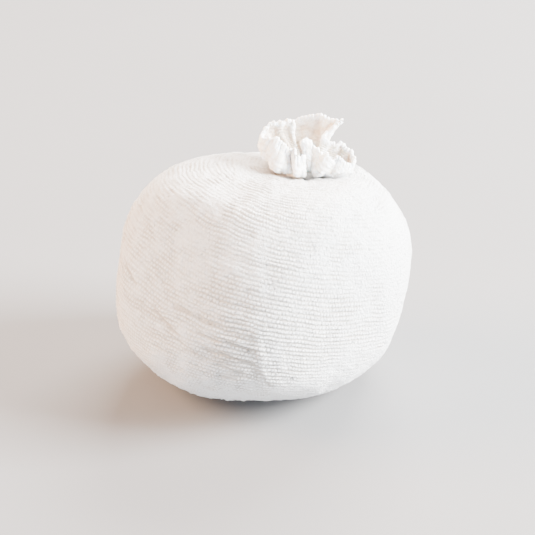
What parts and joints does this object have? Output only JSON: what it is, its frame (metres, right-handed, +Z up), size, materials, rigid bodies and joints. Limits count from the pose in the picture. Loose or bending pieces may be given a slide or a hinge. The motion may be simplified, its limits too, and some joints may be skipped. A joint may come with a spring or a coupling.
{
  "type": "gym chalk ball",
  "caption": "Palm-sized ball of loose chalk powder in a knitted cotton tube, tied at the neck with its cut end left as a ruffled frill, resting on a flattened base.",
  "frame": {"origin": "on the rest face at z = 0, under the centre of the bounding box", "axes": "+Z up from the rest face, +X to the right seen from the front, the side the neck leans to, -Y to the front"},
  "size_m": [0.073, 0.0712, 0.0683],
  "materials": {
    "cotton_knit": "matte knitted cotton, dusted with chalk",
    "thread": "matte twisted cotton thread, dusted with chalk",
    "chalk": "matte loose powder with soft crumbs"
  },
  "bodies": {
    "root": {"pouch": "cotton_knit", "neck_gather": "cotton_knit", "frill": "cotton_knit", "neck_tie": "thread", "bottom_gather": "cotton_knit", "bottom_tie": "thread", "chalk_fill": "chalk"}
  },
  "joints": []
}
